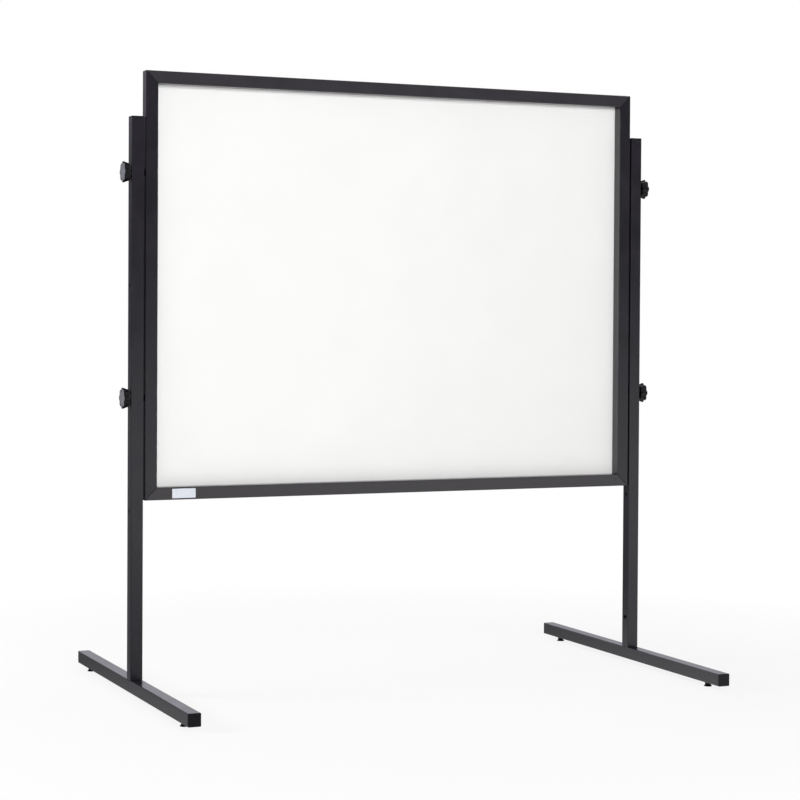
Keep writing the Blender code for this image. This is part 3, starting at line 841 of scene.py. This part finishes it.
bpy.ops.object.select_all(action="DESELECT")
bpy.ops.mesh.primitive_uv_sphere_add(segments=8, ring_count=4, radius=1)
stitch = fresh("stitch_model", hem_thread, STITCH_SIZE)
only(stitch)
bpy.ops.object.shade_smooth()
across = int((WIDTH - 2 * STITCH_INSET) / STITCH_PITCH)
up = int((HEIGHT - 2 * STITCH_INSET) / STITCH_PITCH)
stitches = round_the_edge(stitch, "hem_stitches", STITCH_INSET, across, up)
hang(stitches, HEM_BACK)
bpy.data.objects.remove(stitch)
print("stitches across", across, "and up", up, "with", len(stitches.data.polygons), "faces")

# %% [markdown]
# ## Press studs
# Press studs hold the cloth to the frame about every hundred millimetres. The cap of one is pressed
# from sheet metal: a flat flange, a raised crown and a dimple in its middle. Insets and one extrusion
# follow the same steps as the press.

# %% Press studs
FLANGE_RADIUS = 0.0062
FLANGE_HEIGHT = 0.0006
FLANGE_WIDTH = 0.0012
CROWN_HEIGHT = 0.0012
CROWN_TAPER = 0.86
DIMPLE_RIM = 0.0016
DIMPLE_DEPTH = 0.0004
CAP_EDGE = 0.0003

press_stud = cylinder("press_stud_model", FLANGE_RADIUS, 0, FLANGE_HEIGHT, sides=32, material=nickel)
pick_faces(press_stud, (0, 0, 1))
bpy.ops.mesh.inset(thickness=FLANGE_WIDTH)
extrude(CROWN_HEIGHT, CROWN_TAPER)
bpy.ops.mesh.inset(thickness=DIMPLE_RIM, depth=-DIMPLE_DEPTH)
bpy.ops.object.mode_set(mode="OBJECT")
soften(press_stud, CAP_EDGE, angle=25)
press_studs = round_the_edge(press_stud, "hem_press_studs", STUD_INSET, STUDS_ACROSS, STUDS_UP)
hang(press_studs, HEM_BACK)
bpy.data.objects.remove(press_stud)
print("press studs with", len(press_studs.data.polygons), "faces")

# %% [markdown]
# ## The cloth as one sheet
# The cloth, its hem, the seam and the press studs move together with the frame, and the imported sheet
# is hidden.

# %% The cloth as one sheet
for piece in (sheet, hem, stitches, press_studs):
    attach(piece, ROOT)
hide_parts("projection_sheet")
print("sheet with", [piece.name for piece in (hem, stitches, press_studs)])

# %% [markdown]
# ## Blank plate
# A small pale plate is stuck to the front of the bottom rail near its left end. It is kept blank. A
# thin slab with rounded corners and a soft edge is enough, with the faint cloudiness of a film.

# %% Blank plate
PLATE_WIDTH = 0.058
PLATE_HEIGHT = 0.0225
PLATE_THICKNESS = 0.0004
PLATE_FROM_LEFT = 0.066
PLATE_CORNER = 0.0020
PLATE_EDGE = 0.0001
GLUE = 0.00005

# Pale blue-grey with a satin gloss: a cool bright spot on the black rail.
film = clouded(
    "satin_polyester_film", "#d0d7e2", "#e9edf4",
    cloud=0.007, rough=(0.30, 0.44), grit=0.0010, depth=0.00001, constants={"IOR": 1.57},
)
rail_low, rail_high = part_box("frame_bottom_rail")
bpy.ops.object.select_all(action="DESELECT")
bpy.ops.mesh.primitive_cube_add(size=1)
plate = fresh("blank_plate", film, (PLATE_WIDTH, PLATE_THICKNESS, PLATE_HEIGHT))
only(plate)
bpy.ops.object.mode_set(mode="EDIT")
bpy.ops.mesh.select_mode(type="EDGE")
bpy.ops.mesh.select_all(action="DESELECT")
bpy.ops.object.mode_set(mode="OBJECT")
for edge in plate.data.edges:
    ends = [plate.data.vertices[i].co for i in edge.vertices]
    edge.select = abs(ends[0].y - ends[1].y) > PLATE_THICKNESS / 2
bpy.ops.object.mode_set(mode="EDIT")
bpy.ops.mesh.bevel(offset=PLATE_CORNER, segments=5)
bpy.ops.object.mode_set(mode="OBJECT")
soften(plate, PLATE_EDGE, angle=60)
plate_x = rail_low.x + PLATE_FROM_LEFT + PLATE_WIDTH / 2
plate_y = rail_low.y - PLATE_THICKNESS / 2 - GLUE
plate_z = (rail_low.z + rail_high.z) / 2
plate.data.transform(Matrix.Translation((plate_x, plate_y, plate_z)))
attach(plate, ROOT)
print("blank plate at", round(plate_x, 4), round(plate_y, 4), round(plate_z, 4))

# %% [markdown]
# ## Camera
# The viewer stands to the left and a little below the middle of the screen, far back with a long lens.
# The numbers were found by fitting a pin-hole camera to the corners of the frame, the posts and the
# feet. The picture is square, 800 pixels wide, and the lens axis meets it a little above its middle,
# so the camera has a small vertical shift.

# %% Camera
PICTURE = 800
SENSOR = 36.0
FOCAL_PIXELS = 2090.9
YAW = math.radians(23.661)
PITCH_DOWN = math.radians(1.125)
ROLL = math.radians(0.335)
AXIS_ROW = 355.95
EYE = Vector((-2.0712, -4.7474, 0.9031))

level_way = Vector((math.sin(YAW), math.cos(YAW), 0))
forward = level_way * math.cos(PITCH_DOWN) - Vector((0, 0, math.sin(PITCH_DOWN)))
right = Vector((math.cos(YAW), -math.sin(YAW), 0))
above = right.cross(forward)
rolled_right = right * math.cos(ROLL) + above * math.sin(ROLL)
rolled_above = above * math.cos(ROLL) - right * math.sin(ROLL)
camera = bpy.data.objects.new("camera", bpy.data.cameras.new("camera"))
camera.data.sensor_width = SENSOR
camera.data.lens = FOCAL_PIXELS / PICTURE * SENSOR
camera.data.shift_y = (AXIS_ROW - PICTURE / 2) / PICTURE
turn = Matrix((rolled_right, rolled_above, -forward)).transposed().to_4x4()
camera.matrix_world = Matrix.Translation(EYE) @ turn
bpy.context.scene.collection.objects.link(camera)
bpy.context.scene.camera = camera
print("lens", round(camera.data.lens, 2), "mm, shift", round(camera.data.shift_y, 4))

# %% [markdown]
# ## The room
# The object stands in a white studio. The camera sees plain white all round. Black tube shows little
# of its own colour and mostly mirrors the room, so the room that shiny surfaces see is shaped: white
# behind the object, dimmer behind the viewer and at the left, and dark just above the floor. That is
# what lets a tube show its sides as grey and its front as black. Matt surfaces get a weak even light.

# %% The room
ROOM_TINT = "#f6f4ff"
AMBIENT = 0.20  # low, because more of it makes the cloth's edges greyer than its middle
ROOM_SLOPES = (
    # axis of the direction, where the slope starts and ends, brightness before and after it
    ("Y", -0.35, 0.35, 0.40, 1.0),
    ("X", -0.55, 0.10, 0.70, 1.0),
    ("Z", 0.06, 0.18, 0.12, 1.0),
)
world = bpy.data.worlds.new("white_studio")
bpy.context.scene.world = world
world.use_nodes = True
tree = world.node_tree
tree.nodes.clear()
direction = add(tree, "ShaderNodeTexCoord").outputs["Generated"]
way = add(tree, "ShaderNodeSeparateXYZ", {"Vector": direction})
room = 1.0
for axis, start, end, before, after in ROOM_SLOPES:
    span = {"From Min": start, "From Max": end, "To Min": before, "To Max": after}
    slope = add(tree, "ShaderNodeMapRange", {"Value": way.outputs[axis], **span}).outputs["Result"]
    room = add(tree, "ShaderNodeMath", {0: room, 1: slope}, operation="MULTIPLY").outputs[0]
shiny = add(tree, "ShaderNodeBackground", {"Color": linear(ROOM_TINT), "Strength": room}).outputs[0]
ambient = add(tree, "ShaderNodeBackground", {"Color": (1, 1, 1, 1), "Strength": AMBIENT}).outputs[0]
white = add(tree, "ShaderNodeBackground", {"Color": (1, 1, 1, 1), "Strength": 1.0}).outputs[0]
rays = add(tree, "ShaderNodeLightPath").outputs
lit = add(tree, "ShaderNodeMixShader", {0: rays["Is Glossy Ray"], 1: ambient, 2: shiny}).outputs[0]
seen = add(tree, "ShaderNodeMixShader", {0: rays["Is Camera Ray"], 1: lit, 2: white}).outputs[0]
add(tree, "ShaderNodeOutputWorld", {"Surface": seen})
print("room with", len(ROOM_SLOPES), "slopes in brightness")

# %% [markdown]
# ## Painted floor light in reflections
# The lower fronts of the posts and the sides of the feet mirror the floor. A floor lit evenly would
# make them all one grey, but the real one is bright where the lamps fall on it. So reflections see a
# floor glow of painted light: painted dark in general, painted bright far in front, and a painted pool
# of light near the right foot.

# %% Painted floor light in reflections
FLOOR_PAINTED_SHADE = 0.18
FRONT_WAY = (-0.6, 1.0, 0.0)  # a place's depth is counted along this line
FRONT_START = -1.3
FRONT_END = -3.4
FRONT_PAINTED_LIGHT = 1.0
PAINTED_POOL_CENTRE = (0.9, -0.9, 0.0)
PAINTED_POOL_RADIUS = 2.2
PAINTED_POOL_BRIGHT = 0.95

# Matt white paint: nothing of the floor shows but the soft shadows under the feet.
floor_paint, tree, shader, place = finish(
    "white_studio_floor",
    {"Base Color": linear("#f6f6f6"), "Roughness": 0.9, "Specular IOR Level": 0.0},
)
# Painted light for reflections: bright far in front, fading to painted shade nearer.
depth = add(tree, "ShaderNodeVectorMath", {0: place, 1: FRONT_WAY}, operation="DOT_PRODUCT")
span = {"From Min": FRONT_END, "From Max": FRONT_START, "To Min": FRONT_PAINTED_LIGHT, "To Max": FLOOR_PAINTED_SHADE}
front = add(tree, "ShaderNodeMapRange", {"Value": depth.outputs["Value"], **span}).outputs["Result"]
# A painted pool of light near the right foot.
from_painted_pool = add(tree, "ShaderNodeVectorMath", {0: place, 1: PAINTED_POOL_CENTRE}, operation="DISTANCE")
span = {"From Min": 0.0, "From Max": PAINTED_POOL_RADIUS, "To Min": PAINTED_POOL_BRIGHT, "To Max": FLOOR_PAINTED_SHADE}
painted_pool = add(tree, "ShaderNodeMapRange", {"Value": from_painted_pool.outputs["Value"], **span}).outputs["Result"]
mirrored = add(tree, "ShaderNodeMath", {0: front, 1: painted_pool}, operation="MAXIMUM").outputs[0]
print("floor in reflections from", FLOOR_PAINTED_SHADE, "to", FRONT_PAINTED_LIGHT)

# %% [markdown]
# ## Floor
# To the camera the floor has to run into the white background without an edge, and still carry the
# shadows. Paint alone would never be exactly as white as what is round it. So most of what the camera
# sees is a white of the floor's own, more with the distance from the object, and the rest is paint in
# the light of the lamps.

# %% Floor
FADE_START = 0.9  # metres from the middle
FADE_END = 1.9
OWN_WHITE_NEAR = 0.85
OWN_WHITE_FAR = 1.0
FLOOR_SIZE = 60

rays = add(tree, "ShaderNodeLightPath").outputs
away = add(tree, "ShaderNodeVectorMath", {0: place}, operation="LENGTH").outputs["Value"]
span = {"From Min": FADE_START, "From Max": FADE_END, "To Min": OWN_WHITE_NEAR, "To Max": OWN_WHITE_FAR}
seen = add(tree, "ShaderNodeMapRange", {"Value": away, **span}).outputs["Result"]
sources = {0: rays["Is Camera Ray"], 1: seen, 2: rays["Is Glossy Ray"]}
share = add(tree, "ShaderNodeMath", sources, operation="MULTIPLY_ADD").outputs[0]
# Reflections see the painted floor light; the camera sees the floor's own white.
levels = {0: rays["Is Glossy Ray"], 2: 1.0, 3: mirrored}
level = add(tree, "ShaderNodeMix", levels, data_type="FLOAT").outputs[0]
glow = add(tree, "ShaderNodeEmission", {"Color": (1, 1, 1, 1), "Strength": level}).outputs[0]
mixed = add(tree, "ShaderNodeMixShader", {0: share, 1: shader.outputs[0], 2: glow}).outputs[0]
tree.links.new(mixed, tree.nodes["Material Output"].inputs["Surface"])
bpy.ops.object.select_all(action="DESELECT")
bpy.ops.mesh.primitive_plane_add(size=FLOOR_SIZE)
floor = fresh("studio_floor", floor_paint)
print("floor", FLOOR_SIZE, "m wide, white from", FADE_END, "m")

# %% [markdown]
# ## Lamps
# Four soft boxes do the work of a studio. A large one behind the viewer lights the cloth, a second one
# behind the object does the same for the rear, and one at the left catches the faces of the knobs.
# Mirrored in a tube, such a lamp would be a white stripe, so these three stay out of reflections. A
# small lamp at the upper right does the opposite: it shows in reflections only, as a glint on edges.

# %% Lamps
def soft_box(name, place, aim, size, power, mirrored=False, spread=True):
    """A square lamp aimed at a point. Reflections show it if it is mirrored, and it lights matt
    surfaces if its light is spread."""
    lamp = bpy.data.lights.new(name, "AREA")
    lamp.shape = "SQUARE"
    lamp.size = size
    lamp.energy = power
    holder = bpy.data.objects.new(name, lamp)
    holder.location = place
    holder.visible_glossy = mirrored
    holder.visible_diffuse = spread
    holder.rotation_euler = (Vector(aim) - Vector(place)).to_track_quat("-Z", "Y").to_euler()
    bpy.context.scene.collection.objects.link(holder)


soft_box("key_light", (-1.0, -5.4, 2.1), aim=(0, 0, 0.95), size=2.0, power=204)
soft_box("back_light", (1.0, 5.4, 2.1), aim=(0, 0, 0.95), size=2.0, power=120)
soft_box("side_light", (-3.6, 0.9, 1.3), aim=(-0.7, 0, 0.85), size=1.0, power=95)
soft_box(
    "top_light", (2.4, -1.4, 2.95), aim=(-0.7, 0, 0.98), size=0.8, power=30, mirrored=True, spread=False
)

# %% [markdown]
# ## View transform
# The picture uses the Standard view transform, and the scene is brought up to date.

# %% View transform
bpy.context.scene.view_settings.view_transform = "Standard"
bpy.context.view_layer.update()
